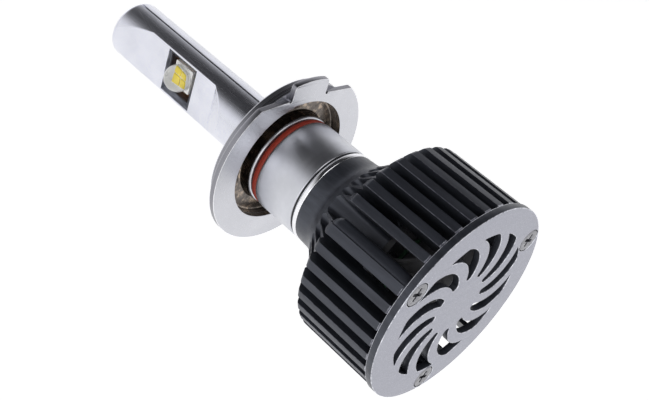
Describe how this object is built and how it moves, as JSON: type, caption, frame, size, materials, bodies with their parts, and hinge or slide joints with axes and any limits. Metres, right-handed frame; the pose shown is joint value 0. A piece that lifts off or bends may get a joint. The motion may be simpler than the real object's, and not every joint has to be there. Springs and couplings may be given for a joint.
{
  "type": "headlight bulb",
  "caption": "LED headlight bulb: prefocus flange, split aluminium stem with a lamp on each side, finned black heat sink and a fan behind a swirl-slotted grille.",
  "frame": {"origin": "centre of the flange's front face, where the centring spigot starts", "axes": "+X forward along the bulb to the stem's tip, +Y out of the first lamp's window, +Z towards the flange's locating tab"},
  "size_m": [0.0666, 0.0292, 0.0293],
  "materials": {
    "satin_nickel": "satin nickel plating",
    "stem_aluminium": "satin machined",
    "satin_chrome": "satin",
    "polished_chrome": "polished",
    "black_anodised": "black anodised, bright cut edges",
    "grey_anodised": "bead blasted, grey anodised",
    "red_rubber": "matte",
    "dark_rubber": "matte",
    "steel": "bright",
    "core_steel": "dull laminated",
    "ferrite": "dark matte",
    "copper": "bare copper",
    "bush_brass": "sintered",
    "ceramic": "white ceramic",
    "phosphor": "yellow phosphor",
    "clear_silicone": "clear",
    "black_plastic": "moulded",
    "white_plastic": "moulded",
    "board_green": "solder mask",
    "capacitor_sleeve": "shrunk sleeve",
    "lead_sleeve": "wire insulation"
  },
  "bodies": {
    "collar": {"flange_collar": "satin_nickel"},
    "grip_ring": {"grip_ring": "dark_rubber"},
    "bulb": {"stem_left": "stem_aluminium", "stem_right": "stem_aluminium", "core_board": "copper", "led_package_left": "ceramic", "led_package_right": "ceramic", "led_dies_left": "phosphor", "led_dies_right": "phosphor", "led_dome_left": "clear_silicone", "led_dome_right": "clear_silicone", "stem_pins": "steel", "barrel": "satin_chrome", "o_ring": "red_rubber", "neck_seal": "dark_rubber", "trim_ring": "polished_chrome", "heat_sink": "black_anodised", "grille_plate": "grey_anodised", "grille_screws": "steel", "fan_base": "black_plastic", "fan_screws": "steel", "stator_core": "core_steel", "stator_coils": "copper", "fan_board": "board_green", "fan_bush": "bush_brass", "driver_board": "board_green", "driver_chips": "black_plastic", "driver_inductor": "ferrite", "driver_capacitors": "capacitor_sleeve", "led_leads": "lead_sleeve", "fan_leads": "lead_sleeve", "cable_grommet": "dark_rubber"},
    "fan_rotor": {"fan_rotor": "black_plastic", "fan_magnet": "ferrite", "fan_shaft": "steel", "shaft_clip": "white_plastic"}
  },
  "joints": [
    {"name": "collar_twist", "type": "hinge", "parent": "collar", "child": "grip_ring", "pos_m": [0, 0, 0], "axis": [1, 0, 0], "continuous": true},
    {"name": "pull_out", "type": "slide", "parent": "grip_ring", "child": "bulb", "axis": [-1, 0, 0], "range_m": [0, 0.036]},
    {"name": "fan_spin", "type": "hinge", "parent": "bulb", "child": "fan_rotor", "pos_m": [-0.027, 0, 0], "axis": [1, 0, 0], "continuous": true}
  ]
}
